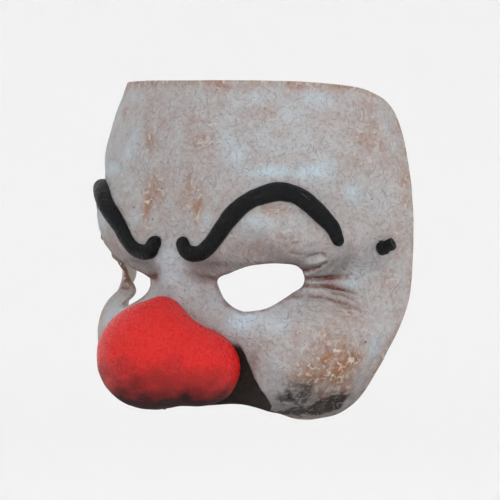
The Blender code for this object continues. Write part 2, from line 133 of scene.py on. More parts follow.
# Fine creases, cut sharper than the folds they lie in
CREASES = (
    # across, up, end_across, end_up, sag, reach, lift
    (0.474, -0.07, 0.592, -0.041, 0.006, 0.8, -1.7),
    (0.5, -0.044, 0.596, -0.026, 0.002, 1.6, 1.3),
    (0.5, -0.022, 0.575, -0.008, 0.0, 0.8, -0.5),
    (0.47, -0.086, 0.704, -0.086, 0.0, 0.8, -1.6),
    (0.51, -0.095, 0.7, -0.098, 0.0, 1.6, 1.0),
    (0.47, -0.104, 0.735, -0.131, -0.01, 0.8, -1.4),
    (0.49, -0.12, 0.74, -0.15, -0.015, 1.6, 0.6),
    (0.44, -0.134, 0.762, -0.186, -0.022, 0.8, -1.0),
    (0.6, -0.126, 0.73, -0.156, -0.008, 0.7, -0.7),
    (0.56, -0.01, 0.6, -0.03, -0.002, 0.7, -0.5),
    (0.1, -0.074, 0.19, -0.092, 0.0, 0.9, -1.0),
    (0.4, 0.045, 0.5, 0.052, 0.008, 0.8, -0.45),
    (0.42, 0.015, 0.5, 0.026, -0.006, 0.8, -0.45),
    (0.44, 0.0, 0.52, -0.01, 0.004, 0.8, -0.4),
    (0.49, 0.01, 0.56, 0.03, 0.004, 0.8, -0.4),
    (0.02, 0.052, 0.052, 0.004, 0.003, 0.8, -0.6),
)

# Edge of the skin, right half, from the top middle round to the bottom middle
SKIN_EDGE = (
    # across, up
    (0.0, 0.497),
    (0.271, 0.497),
    (0.532, 0.493),
    (0.735, 0.483),
    (0.85, 0.469),
    (0.946, 0.438),
    (0.992, 0.385),
    (1.0, 0.31),
    (1.0, 0.2),
    (1.0, 0.06),
    (1.0, -0.08),
    (0.99, -0.138),
    (0.959, -0.197),
    (0.916, -0.282),
    (0.889, -0.376),
    (0.874, -0.458),
    (0.847, -0.506),
    (0.792, -0.533),
    (0.726, -0.547),
    (0.657, -0.544),
    (0.581, -0.525),
    (0.497, -0.499),
    (0.384, -0.471),
    (0.273, -0.461),
    (0.125, -0.457),
    (0.0, -0.457),
)

# Eye hole from its inner corner over the upper lid: shares of its width and height
EYE_EDGE = (
    # along, up
    (-0.5, 0.064),
    (-0.451, 0.19),
    (-0.316, 0.292),
    (-0.185, 0.401),
    (-0.062, 0.472),
    (0.107, 0.5),
    (0.288, 0.469),
    (0.397, 0.416),
    (0.469, 0.289),
    (0.5, 0.12),
    (0.462, -0.02),
    (0.374, -0.11),
    (0.226, -0.283),
    (0.093, -0.433),
    (-0.109, -0.499),
    (-0.216, -0.455),
    (-0.327, -0.341),
    (-0.429, -0.175),
)

# The edge of the cheek over the sunken lip, whose painted shade it bounds, from beside the nose down to
# the skin's edge
LIP_LINE = (
    # across, up
    (0.287, -0.269),
    (0.315, -0.306),
    (0.353, -0.371),
    (0.397, -0.41),
    (0.428, -0.431),
    (0.47, -0.467),
    (0.48, -0.5),
)

# Parts of each half whose mesh is twice as fine
FINE_ZONES = (
    # across, up, end_across, end_up
    (0.44, -0.21, 0.8, 0.0),
    (0.26, -0.52, 0.5, -0.25),
)

# Centreline of a brow roll, from its inner curl to its outer end, and its relative width
BROW_LINE = (
    # across, up, width
    (0.072, 0.018, 0.9),
    (0.089, 0.0, 0.9),
    (0.129, -0.004, 0.86),
    (0.172, 0.012, 0.84),
    (0.233, 0.064, 0.88),
    (0.283, 0.103, 0.98),
    (0.345, 0.15, 1.1),
    (0.411, 0.174, 1.15),
    (0.457, 0.171, 1.15),
    (0.497, 0.156, 1.14),
    (0.563, 0.106, 1.06),
    (0.606, 0.072, 0.92),
    (0.629, 0.036, 0.8),
)

# Knot of the elastic: place along its path and radius, in shares of the knot's radius
KNOT_FORM = (
    # along, radius
    (0.15, 0.62),
    (0.38, 0.95),
    (0.75, 1.06),
    (1.12, 0.98),
    (1.35, 0.84),
    (1.55, 0.86),
    (2.2, 0.9),
    (2.5, 0.82),
)

# Painted patches of the skin: centre across and up, reach across and up, and strength.
# A patch shows on both halves, unless its place across is negative.
TAN_PATCHES = (
    # across, up, reach_across, reach_up, strength
    (0.655, -0.33, 0.13, 0.07, 1.3),
    (0.59, -0.29, 0.14, 0.08, 0.6),
    (0.52, -0.24, 0.07, 0.05, 0.4),
    (0.71, -0.195, 0.06, 0.04, 0.5),
    (0.721, -0.42, 0.08, 0.04, 0.8),
    (0.8, 0.32, 0.1, 0.09, 0.5),
    (0.82, 0.425, 0.07, 0.03, 0.35),
    (0.945, 0.2, 0.045, 0.1, 0.65),
    (0.9, 0.01, 0.06, 0.1, 0.3),
    (0.867, -0.09, 0.06, 0.06, 0.35),
    (0.196, 0.485, 0.06, 0.022, 0.75),
    (0.507, 0.482, 0.07, 0.018, 0.6),
    (0.441, 0.341, 0.04, 0.025, 0.35),
    (0.379, 0.405, 0.06, 0.025, 0.45),
    (0.135, 0.322, 0.05, 0.05, 0.5),
    (0.09, 0.369, 0.05, 0.04, 0.3),
    (0.089, 0.171, 0.05, 0.06, 0.5),
    (0.135, 0.14, 0.03, 0.07, 0.75),
    (0.405, 0.115, 0.07, 0.025, 0.45),
    (0.33, 0.01, 0.12, 0.03, 0.35),
    (0.1, -0.062, 0.05, 0.018, 0.45),
    (-0.52, -0.075, 0.06, 0.06, 0.9),
)
BLUE_PATCHES = (
    # across, up, reach_across, reach_up, strength
    (0.27, 0.283, 0.05, 0.04, 0.8),
    (0.44, 0.33, 0.13, 0.06, 0.5),
    (0.462, 0.397, 0.08, 0.035, 0.6),
    (0.392, 0.232, 0.11, 0.022, 0.95),
    (0.532, 0.231, 0.09, 0.03, 1.0),
    (0.591, 0.442, 0.08, 0.03, 0.75),
    (0.584, 0.254, 0.06, 0.04, 0.6),
    (0.699, 0.166, 0.05, 0.03, 0.9),
    (0.344, 0.08, 0.07, 0.035, 0.7),
    (0.237, 0.315, 0.05, 0.06, 0.6),
    (0.354, 0.437, 0.05, 0.04, 0.6),
    (0.169, 0.092, 0.03, 0.025, 0.8),
    (0.294, -0.202, 0.08, 0.04, 1.1),
    (0.424, -0.209, 0.06, 0.04, 0.8),
    (0.44, -0.32, 0.06, 0.05, 0.45),
    (0.818, -0.287, 0.04, 0.045, 0.9),
    (0.712, -0.101, 0.035, 0.014, 1.1),
    (0.029, -0.06, 0.1, 0.07, 0.9),
    (0.18, -0.14, 0.06, 0.05, 0.5),
)
# Dark patches low on the cheek: partly stains, partly painted shade under the rolled-in cheek.
DARK_PATCHES = (
    # across, up, reach_across, reach_up, strength
    (0.735, -0.47, 0.095, 0.052, 1.7),
    (0.62, -0.5, 0.2, 0.045, 1.1),
    (0.56, -0.43, 0.13, 0.065, 0.85),
    (0.48, -0.39, 0.07, 0.05, 0.4),
    (0.85, -0.43, 0.06, 0.07, 0.4),
)
RUST_PATCHES = (
    # across, up, reach_across, reach_up, strength
    (0.145, -0.086, 0.045, 0.008, 1.0),
    (0.3, -0.036, 0.16, 0.008, 0.6),
    (0.49, -0.062, 0.05, 0.014, 0.7),
    (0.72, -0.44, 0.08, 0.035, 0.6),
    (0.35, -0.33, 0.03, 0.08, 0.25),
    (-0.51, -0.09, 0.04, 0.03, 0.6),
)


class SkinSettings(bpy.types.PropertyGroup):
    height: FloatProperty(
        name="Height", description="Height of the head form", default=0.162, unit="LENGTH"
    )
    half_width: FloatProperty(
        name="Half width", description="Middle to side", default=0.0892, unit="LENGTH"
    )
    depth: FloatProperty(name="Depth", description="Front to back edge", default=0.074, unit="LENGTH")
    wall: FloatProperty(name="Wall", description="Thickness of the latex", default=0.002, unit="LENGTH")
    spacing: FloatProperty(
        name="Spacing", description="Side of a mesh triangle", default=0.00125, unit="LENGTH"
    )
    fold_depth: FloatProperty(
        name="Fold depth", description="Depth of a laugh line", default=0.0014, unit="LENGTH"
    )
    lip_drop: FloatProperty(
        name="Lip drop", description="Lip behind the cheek", default=0.0008, unit="LENGTH"
    )
    lump_height: FloatProperty(
        name="Lump height", description="Unevenness of the casting", default=0.00030, unit="LENGTH"
    )
    ground: FloatVectorProperty(
        name="Ground", description="Main paint", subtype="COLOR", default=(0.400, 0.385, 0.385)
    )
    # Cream paint of the raised ridges, which also gives them a faint painted highlight away from the tan
    # patches.
    cream: FloatVectorProperty(
        name="Cream", description="Raised brush marks", subtype="COLOR", default=(0.640, 0.600, 0.550)
    )
    tan: FloatVectorProperty(
        name="Tan", description="Warm patches", subtype="COLOR", default=(0.290, 0.135, 0.068)
    )
    blue: FloatVectorProperty(
        name="Blue", description="Cool patches", subtype="COLOR", default=(0.470, 0.560, 0.620)
    )
    # Rust paint of the lids and patches, also painted shade in the grooves of folds, creases and cracks.
    rust: FloatVectorProperty(
        name="Rust", description="Folds and lids", subtype="COLOR", default=(0.150, 0.055, 0.042)
    )
    # Dark paint of the stains, also the colour of the painted shade in the lip recess, under the cheek
    # and on faces that look down.
    dark: FloatVectorProperty(
        name="Dark", description="Stains and painted shade below", subtype="COLOR", default=(0.018, 0.012, 0.010)
    )


class NoseSettings(bpy.types.PropertyGroup):
    radius: FloatProperty(
        name="Ball radius", description="Radius of the bulb", default=0.0247, unit="LENGTH"
    )
    forward: FloatProperty(
        name="Forward", description="Bulb ahead of the bridge", default=0.0184, unit="LENGTH"
    )
    drop: FloatProperty(name="Drop", description="Bulb below the bridge", default=0.0495, unit="LENGTH")
    wing_radius: FloatProperty(
        name="Wing radius", description="Radius of a nostril wing", default=0.0173, unit="LENGTH"
    )
    grain_height: FloatProperty(
        name="Grain height", description="Height of the paint grain", default=0.00055, unit="LENGTH"
    )
    red: FloatVectorProperty(
        name="Red", description="Glossy red paint", subtype="COLOR", default=(0.660, 0.010, 0.005)
    )
    crimson: FloatVectorProperty(
        name="Crimson", description="Cooler red", subtype="COLOR", default=(0.620, 0.006, 0.014)
    )


class TrimSettings(bpy.types.PropertyGroup):
    brow_width: FloatProperty(
        name="Brow width", description="Width of a brow roll", default=0.0076, unit="LENGTH"
    )
    brow_height: FloatProperty(
        name="Brow height", description="Height of a brow roll", default=0.0040, unit="LENGTH"
    )
    knot_radius: FloatProperty(
        name="Knot radius", description="Radius of the knot", default=0.0033, unit="LENGTH"
    )
    shank_radius: FloatProperty(
        name="Shank radius", description="Radius of the elastic", default=0.0017, unit="LENGTH"
    )
    black: FloatVectorProperty(
        name="Black", description="Trim paint", subtype="COLOR", default=(0.0022, 0.0026, 0.0034)
    )
    stations: IntProperty(name="Stations", description="Sections along a brow roll", default=190, min=20)


class StageSettings(bpy.types.PropertyGroup):
    azimuth: FloatProperty(
        name="Azimuth", description="Camera round the mask", default=37.4, min=-180, max=180
    )
    elevation: FloatProperty(
        name="Elevation", description="Camera above the level", default=2.5, min=-90, max=90
    )
    distance: FloatProperty(name="Distance", description="Camera to mask", default=1.6, unit="LENGTH")
    view_width: FloatProperty(
        name="View width", description="Width seen at the mask", default=0.2375, unit="LENGTH"
    )
    aim: FloatProperty(name="Aim", description="Aim beside the bridge", default=0.0363, unit="LENGTH")
    floor_drop: FloatProperty(
        name="Floor drop", description="Floor below the bridge", default=0.30, unit="LENGTH"
    )
    key_power: FloatProperty(name="Key power", description="Power of a side lamp in watts", default=4.0)
    world_light: FloatProperty(name="World light", description="Strength of the even light", default=1.12)


def half_arc():
    skin = bpy.context.scene.mask_skin
    return 0.77 * (skin.half_width + skin.depth)


def shares(table):
    """A table of shares as places across and up in metres."""
    return np.array(table) * (half_arc(), bpy.context.scene.mask_skin.height)


def table_curve(places, values, at):
    """Values of a table read at places between its rows, as a smooth monotone curve."""
    order = np.argsort(places)
    x, y = np.asarray(places)[order], np.asarray(values)[order]
    step, slope = np.diff(x), np.diff(y) / np.diff(x)
    tangent = np.zeros_like(y)
    rising = slope[:-1] * slope[1:] > 0
    mean = 2 * slope[:-1] * slope[1:] / np.where(rising, slope[:-1] + slope[1:], 1)
    tangent[1:-1] = np.where(rising, mean, 0)
    tangent[0], tangent[-1] = slope[0], slope[-1]
    at = np.clip(at, x[0], x[-1])
    i = np.clip(np.searchsorted(x, at) - 1, 0, len(step) - 1)
    h = step[i]
    u = (at - x[i]) / h
    return (
        y[i] * (1 + 2 * u) * (1 - u) ** 2
        + h * tangent[i] * u * (1 - u) ** 2
        + y[i + 1] * u * u * (3 - 2 * u)
        + h * tangent[i + 1] * u * u * (u - 1)
    )


def spline(points, closed=False, parts=8):
    """A Catmull-Rom curve through the points, with parts steps to each stretch."""
    p = np.asarray(points, float)
    if closed:
        p = np.vstack([p[-1], p, p[0], p[1]])
    else:
        p = np.vstack([2 * p[0] - p[1], p, 2 * p[-1] - p[-2]])
    u = (np.arange(parts) / parts)[:, None]
    runs = [
        0.5
        * (
            2 * b
            + (c - a) * u
            + (2 * a - 5 * b + 4 * c - d) * u**2
            + (3 * b - a - 3 * c + d) * u**3
        )
        for a, b, c, d in zip(p[:-3], p[1:-2], p[2:-1], p[3:])
    ]
    curve = np.vstack(runs)
    return curve if closed else np.vstack([curve, p[-2]])


def evenly(curve, spacing, closed=False):
    """Points at even steps of about spacing along a curve."""
    if closed:
        curve = np.vstack([curve, curve[0]])
    along = np.append(0, np.cumsum(np.linalg.norm(np.diff(curve, axis=0), axis=1)))
    count = max(3, round(along[-1] / spacing))
    at = np.linspace(0, along[-1], count + 1)
    if closed:
        at = at[:-1]
    return np.stack([np.interp(at, along, curve[:, k]) for k in range(2)], axis=1)


def head_point(across, up):
    """The plain head form, for places across and up in metres along the skin."""
    skin = bpy.context.scene.mask_skin
    columns = np.array(HEAD_FORM).T
    share = up / skin.height
    half = table_curve(columns[0], columns[1], share) * skin.half_width
    setback = table_curve(columns[0], columns[2], share) * skin.depth
    power = 2 / table_curve(columns[0], columns[3], share)
    turn = np.clip(across / half_arc(), -1, 1) * QUARTER
    x = half * np.sign(turn) * np.abs(np.sin(turn)) ** power
    y = skin.depth - skin.wall - (skin.depth - setback) * np.abs(np.cos(turn)) ** power
    return np.stack([x, y, up + 0 * x], axis=-1)


def smooth(value, low, high):
    """0 below low, 1 above high, an even S between."""
    u = np.clip((value - low) / (high - low), 0, 1)
    return u * u * (3 - 2 * u)


def fold_place(row, across, up):
    """Place along a fold, from 0 to 1, and off it in shares of its reach."""
    start_across, start_up, end_across, end_up, sag, reach = row[:6]
    span = (end_across - start_across) * half_arc()
    u = (np.abs(across) - start_across * half_arc()) / span
    line = start_up + (end_up - start_up) * u - 4 * sag * u * (1 - u)
    return u, (up - line * bpy.context.scene.mask_skin.height) / (reach * MM)


def fold_strength(row, across, up):
    u, v = fold_place(row, across, up)
    return np.clip(4 * u * (1 - u), 0, 1) ** 0.5 * np.exp(-v * v)


def patch_strength(row, across, up):
    """How strongly a painted patch shows at places across and up."""
    place = across if row[0] < 0 else np.abs(across)
    u = (place / half_arc() - row[0]) / row[2]
    v = (up / bpy.context.scene.mask_skin.height - row[1]) / row[3]
    return row[4] * np.exp(-(u * u + v * v))


def lip_strength(across, up):
    """1 on the sunken lip beside the nose, 0 on the cheek, with a narrow step between."""
    line = shares(LIP_LINE)
    edge = np.interp(-up, -line[:, 1], line[:, 0])
    below = smooth(-up, -line[0, 1] - 2 * MM, -line[0, 1] + 3 * MM)
    return below * smooth(edge - np.abs(across), -0.3 * MM, 0.9 * MM)


def relief(across, up):
    """How far the skin is lifted off the plain head form."""
    skin = bpy.context.scene.mask_skin
    lift = np.zeros_like(across + up)
    for row_across, row_up, reach_across, reach_up, tilt, height in RELIEF:
        du = np.abs(across) - row_across * half_arc()
        dv = up - row_up * skin.height
        c, s = math.cos(math.radians(tilt)), math.sin(math.radians(tilt))
        u = (du * c + dv * s) / (reach_across * half_arc())
        v = (dv * c - du * s) / (reach_up * skin.height)
        lift = lift + height * skin.depth * np.exp(-(u * u + v * v))
    for row in FOLDS:
        lift = lift + row[6] * skin.fold_depth * fold_strength(row, across, up)
    return lift


def normals_of(surface, across, up):
    """Outward unit normals of a surface that is given by places across and up."""
    step = 0.4 * STEP
    a = surface(across + step, up) - surface(across - step, up)
    b = surface(across, up + step) - surface(across, up - step)
    n = np.cross(a, b)
    return n / np.linalg.norm(n, axis=-1, keepdims=True)


def bare_skin(across, up):
    inset = np.clip(across, -0.995 * half_arc(), 0.995 * half_arc())
    n = normals_of(head_point, inset, up)
    return head_point(across, up) + n * relief(across, up)[..., None]


def skin_normals(across, up):
    return normals_of(bare_skin, np.clip(across, -0.99 * half_arc(), 0.99 * half_arc()), up)


def skin_point(across, up, lift=0.0):
    """Points on the outer face of the skin, or lifted off it."""
    return bare_skin(across, up) + skin_normals(across, up) * np.asarray(lift)[..., None]


def skin_places(x, z, lift=0.0):
    """Places across and up whose skin points have the given x and z."""
    across, up = x, z + 0 * x
    for _ in range(7):
        p = skin_point(across, up, lift)
        side = skin_point(across + STEP, up, lift)
        slope = np.maximum((side - p)[..., 0] / STEP, 0.2)
        across = across + (x - p[..., 0]) / slope
        up = up + (z - p[..., 2])
    return across, up


def inside(points, loop):
    """Which points lie inside a closed loop."""
    y = points[:, 1]
    found = np.zeros(len(points), bool)
    for a, b in zip(loop, np.roll(loop, -1, axis=0)):
        if a[1] == b[1]:
            continue
        crosses = (a[1] > y) != (b[1] > y)
        at = a[0] + (y - a[1]) / (b[1] - a[1]) * (b[0] - a[0])
        found ^= crosses & (points[:, 0] < at)
    return found


def distance_to(points, loop):
    """Distance of each point from the nearest point of a loop."""
    best = np.full(len(points), 1.0)
    for other in loop:
        best = np.minimum(best, np.hypot(points[:, 0] - other[0], points[:, 1] - other[1]))
    return best


def skin_edge():
    right = shares(SKIN_EDGE)
    left = right[-2:0:-1] * (-1, 1)
    return spline(np.vstack([right, left]), closed=True)


def eye_edge(side):
    shape = np.array(EYE_EDGE) * (EYE_WIDTH, EYE_HEIGHT) + (EYE_ACROSS, -EYE_DROP)
    loop = spline(shape, closed=True, parts=6) * (side, 1)
    return loop[::side]


def strap_hole(side, sides=24):
    """The small hole that the elastic passes through."""
    turns = np.arange(sides) * 2 * math.pi / sides
    place = np.array([side * KNOT_ACROSS]), np.array([KNOT_HEIGHT])
    a = skin_point(place[0] + STEP, place[1]) - skin_point(place[0] - STEP, place[1])
    b = skin_point(place[0], place[1] + STEP) - skin_point(place[0], place[1] - STEP)
    stretch = np.linalg.norm(np.vstack([a, b]), axis=1) / (2 * STEP)
    radius = bpy.context.scene.mask_trim.shank_radius + GAP
    return np.stack([np.cos(turns), np.sin(turns)], axis=1) * radius / stretch + np.hstack(place)


def blend(distances, radius):
    """Smooth union of distances to several forms, rounded by radius where they meet."""
    return -radius * np.log(sum(np.exp(-d / radius) for d in distances))


def nose_distance(p):
    """About how far points lie outside the bulb nose: a ball, two wings and a tongue."""
    nose = bpy.context.scene.mask_nose
    ball = np.linalg.norm(p - (0, -nose.forward, -nose.drop), axis=-1) - nose.radius
    wings = [
        np.linalg.norm(p - (side * WING_ACROSS, WING_BACK, -WING_DROP), axis=-1)
        - nose.wing_radius
        for side in (-1, 1)
    ]
    z = np.clip(p[..., 2], -nose.drop, -nose.drop + TONGUE_RISE)
    core = np.stack([0 * z, 0 * z - TONGUE_FORWARD, z], axis=-1)
    tongue = np.linalg.norm(p - core, axis=-1) - TONGUE_RADIUS
    return blend([ball, *wings, tongue], NOSE_BLEND)


def nose_point(polar, turn, inset=0.0):
    """Points of the nose on rays from its middle, inset behind its outer face."""
    nose = bpy.context.scene.mask_nose
    start = np.array((0, 0.35 * nose.forward, -1.05 * nose.drop))
    ray = np.stack(
        [np.sin(polar) * np.cos(turn), -np.cos(polar), np.sin(polar) * np.sin(turn)], axis=-1
    )
    near, far = np.zeros_like(polar), np.full_like(polar, 3 * nose.radius)
    for _ in range(24):
        mid = (near + far) / 2
        within = nose_distance(start + ray * mid[..., None]) < -inset
        near, far = np.where(within, mid, near), np.where(within, far, mid)
    return start + ray * near[..., None]


def nose_rim(turn, inset=0.0, lift=0.0):
    """Polar angles at which the nose meets the lifted skin."""
    low, high = np.full_like(turn, RIM_LEAST), np.full_like(turn, RIM_MOST)
    for _ in range(18):
        mid = (low + high) / 2
        p = nose_point(mid, turn, inset)
        across, up = skin_places(p[..., 0], p[..., 2], lift)
        ahead = p[..., 1] < skin_point(across, up, lift)[..., 1]
        low, high = np.where(ahead, mid, low), np.where(ahead, high, mid)
    return low


def nose_footprint(inset, rays=120):
    """The loop on the skin where the inset nose meets it."""
    turn = np.linspace(0, 2 * math.pi, rays + 1)[:-1]
    p = nose_point(nose_rim(turn, inset), turn, inset)
    return np.stack(skin_places(p[:, 0], p[:, 2]), axis=1)


def in_fine_zone(points):
    """Which places lie in one of the fine zones."""
    across, up = np.abs(points[:, 0]) / half_arc(), points[:, 1] / bpy.context.scene.mask_skin.height
    return np.any(
        [(across > a) & (across < b) & (up > low) & (up < high) for a, low, b, high in FINE_ZONES],
        axis=0,
    )


def lattice(spacing):
    """Points of a triangular lattice that covers the skin, even about the midline."""
    height = bpy.context.scene.mask_skin.height
    rows = np.arange(-0.56 * height, 0.51 * height, spacing * math.sqrt(0.75))
    half = np.arange(0, 1.02 * half_arc(), spacing)
    points = []
    for k, z in enumerate(rows):
        x = half if k % 2 == 0 else half + spacing / 2
        x = np.append(-x[::-1], x[x > 0])
        points.append(np.stack([x, 0 * x + z], axis=1))
    return np.vstack(points)


def lumps(points, size, seed):
    """Smooth unevenness from -1 to 1 with hollows and bumps of about the given size."""
    shift = Vector((seed * 7.3, seed * 3.1, seed * 5.7))
    return np.array([noise.noise(Vector(p) / size + shift) for p in points])


def new_piece(name, points, faces, material, nodes):
    """A smooth mesh piece that rides on the mask and stands for its CAD solids."""
    mesh = bpy.data.meshes.new(name)
    mesh.from_pydata([tuple(p) for p in points], [], faces)
    mesh.materials.append(material)
    mesh.shade_smooth()
    mesh.set_sharp_from_angle(angle=math.radians(60))
    piece = bpy.data.objects.new(name, mesh)
    bpy.context.scene.collection.objects.link(piece)
    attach(piece, "root")
    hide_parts(*nodes)
    return piece


def add_mask(piece, name, values):
    """A painted mask of the mesh, which its material reads by name."""
    layer = piece.data.attributes.new(name, "FLOAT", "POINT")
    layer.data.foreach_set("value", np.clip(values, 0, 1).astype(np.float32))


def link(tree, source, target):
    tree.links.new(source, target)


def node(tree, kind, **values):
    """A new shader node; values name its own settings or its input sockets."""
    made = tree.nodes.new(kind)
    for name, value in values.items():
        if hasattr(made, name):
            setattr(made, name, value)
        else:
            made.inputs[name.replace("_", " ")].default_value = value
    return made


def math_node(tree, operation, first, second=None, clamp=False):
    """A Math node on one or two sockets or numbers."""
    made = tree.nodes.new("ShaderNodeMath")
    made.operation = operation
    made.use_clamp = clamp
    for k, value in enumerate((first, second)):
        if isinstance(value, (int, float)):
            made.inputs[k].default_value = value
        elif value is not None:
            link(tree, value, made.inputs[k])
    return made.outputs[0]


def times(tree, first, second, clamp=False):
    return math_node(tree, "MULTIPLY", first, second, clamp)


def plus(tree, first, second):
    return math_node(tree, "ADD", first, second)


def minus(tree, first, second, clamp=False):
    return math_node(tree, "SUBTRACT", first, second, clamp)


def greater(tree, first, second):
    return math_node(tree, "MAXIMUM", first, second)


def ramp(tree, value, low, high, out_low=0.0, out_high=1.0):
    """A smooth step of a socket from low to high."""
    made = tree.nodes.new("ShaderNodeMapRange")
    made.interpolation_type = "SMOOTHSTEP"
    for name, number in zip(("From Min", "From Max", "To Min", "To Max"), (low, high, out_low, out_high)):
        made.inputs[name].default_value = number
    link(tree, value, made.inputs["Value"])
    return made.outputs["Result"]


def mix(tree, factor, under, over):
    """Mixes colours; under and over are sockets or colours."""
    made = tree.nodes.new("ShaderNodeMix")
    made.data_type = "RGBA"
    for socket, value in ((made.inputs[0], factor), (made.inputs[6], under), (made.inputs[7], over)):
        if isinstance(value, (int, float)):
            socket.default_value = value
        elif isinstance(value, (tuple, list)) or hasattr(value, "r"):
            socket.default_value = (*value[:3], 1)
        else:
            link(tree, value, socket)
    return made.outputs[2]


def new_group(name, inputs, outputs):
    """A shader node group with named float inputs and outputs, and its inner ends."""
    tree = bpy.data.node_groups.new(name, "ShaderNodeTree")
    for label, default in inputs:
        kind = "NodeSocketVector" if label == "Vector" else "NodeSocketFloat"
        socket = tree.interface.new_socket(label, in_out="INPUT", socket_type=kind)
        if kind == "NodeSocketFloat":
            socket.default_value = default
    for label in outputs:
        tree.interface.new_socket(label, in_out="OUTPUT", socket_type="NodeSocketFloat")
    start = tree.nodes.new("NodeGroupInput")
    end = tree.nodes.new("NodeGroupOutput")
    return tree, start.outputs, end.inputs


def group_named(name, make):
    return bpy.data.node_groups.get(name) or make(name)


def make_worms(name):
    """Short winding ridges, as brushed latex dries: height of the ridges from 0 to 1."""
    tree, start, end = new_group(name, [("Vector", 0), ("Size", 1.0), ("Width", 0.06)], ["Ridges"])
    scale = math_node(tree, "DIVIDE", 1.0, start["Size"])
    wind = node(tree, "ShaderNodeTexNoise", noise_dimensions="3D", Detail=1.5, Distortion=0.6)
    link(tree, start["Vector"], wind.inputs["Vector"])
    link(tree, scale, wind.inputs["Scale"])
    off = math_node(tree, "ABSOLUTE", minus(tree, wind.outputs["Fac"], 0.5))
    share = math_node(tree, "DIVIDE", off, start["Width"])
    ridge = minus(tree, 1.0, share, clamp=True)
    breaks = node(tree, "ShaderNodeTexNoise", noise_dimensions="3D", Detail=1.0)
    link(tree, start["Vector"], breaks.inputs["Vector"])
    link(tree, times(tree, scale, 1.7), breaks.inputs["Scale"])
    broken = ramp(tree, breaks.outputs["Fac"], 0.42, 0.58)
    link(tree, times(tree, ridge, broken), end["Ridges"])
    return tree


def make_blotches(name):
    """Soft uneven patches of paint, from 0 to 1."""
    tree, start, end = new_group(name, [("Vector", 0), ("Size", 1.0), ("Edge", 0.1)], ["Mask"])
    cloud = node(tree, "ShaderNodeTexNoise", noise_dimensions="3D", Detail=4.0, Roughness=0.6)
    link(tree, start["Vector"], cloud.inputs["Vector"])
    link(tree, math_node(tree, "DIVIDE", 1.0, start["Size"]), cloud.inputs["Scale"])
    low = minus(tree, 0.5, start["Edge"])
    over = minus(tree, cloud.outputs["Fac"], low)
    wide = times(tree, start["Edge"], 2.0)
    link(tree, math_node(tree, "DIVIDE", over, wide, clamp=True), end["Mask"])
    return tree


def make_painted_underside_shade(name):
    """Painted shade on faces that look down, from 0 to 1."""
    tree, start, end = new_group(name, [("Vector", 0), ("From", -0.2), ("Full", -0.9)], ["Mask"])
    facing = node(tree, "ShaderNodeNewGeometry")
    apart = node(tree, "ShaderNodeSeparateXYZ")
    link(tree, facing.outputs["Normal"], apart.inputs[0])
    cloud = node(tree, "ShaderNodeTexNoise", noise_dimensions="3D", Scale=120.0, Detail=3.0)
    link(tree, start["Vector"], cloud.inputs["Vector"])
    rough = times(tree, minus(tree, cloud.outputs["Fac"], 0.5), 0.6)
    down = plus(tree, apart.outputs["Z"], rough)
    over = minus(tree, down, start["From"])
    wide = minus(tree, start["Full"], start["From"])
    link(tree, math_node(tree, "DIVIDE", over, wide, clamp=True), end["Mask"])
    return tree


def make_pits(name):
    """Scattered small pits left by air in the mould, from 0 to 1."""
    tree, start, end = new_group(name, [("Vector", 0), ("Size", 1.0), ("Share", 0.25)], ["Mask"])
    cells = node(tree, "ShaderNodeTexVoronoi", voronoi_dimensions="3D", feature="F1")
    link(tree, start["Vector"], cells.inputs["Vector"])
    link(tree, math_node(tree, "DIVIDE", 1.0, start["Size"]), cells.inputs["Scale"])
    apart = node(tree, "ShaderNodeSeparateColor")
    link(tree, cells.outputs["Color"], apart.inputs[0])
    chosen = math_node(tree, "LESS_THAN", apart.outputs[0], start["Share"])
    reach = times(tree, apart.outputs[1], 0.11)
    near = math_node(tree, "LESS_THAN", cells.outputs["Distance"], reach)
    link(tree, times(tree, chosen, near), end["Mask"])
    return tree


def place_group(tree, name, make, coords, **values):
    """A group in a material, fed with coordinates and its own values."""
    made = tree.nodes.new("ShaderNodeGroup")
    made.node_tree = group_named(name, make)
    link(tree, coords, made.inputs["Vector"])
    for label, value in values.items():
        made.inputs[label].default_value = value
    return made.outputs[0]


def new_material(name, **settings):
    """A material, its tree, its Principled shader and its object coordinates."""
    material = bpy.data.materials.new(name)
    material.use_nodes = True
    tree = material.node_tree
    shader = tree.nodes["Principled BSDF"]
    for label, value in settings.items():
        shader.inputs[label.replace("_", " ")].default_value = value
    coords = tree.nodes.new("ShaderNodeTexCoord").outputs["Object"]
    return material, tree, shader, coords


def mask_of(tree, name):
    made = tree.nodes.new("ShaderNodeAttribute")
    made.attribute_name = name
    return made.outputs["Fac"]


def bump(tree, height, distance, under=None):
    made = tree.nodes.new("ShaderNodeBump")
    made.inputs["Distance"].default_value = distance
    link(tree, height, made.inputs["Height"])
    if under is not None:
        link(tree, under, made.inputs["Normal"])
    return made.outputs["Normal"]


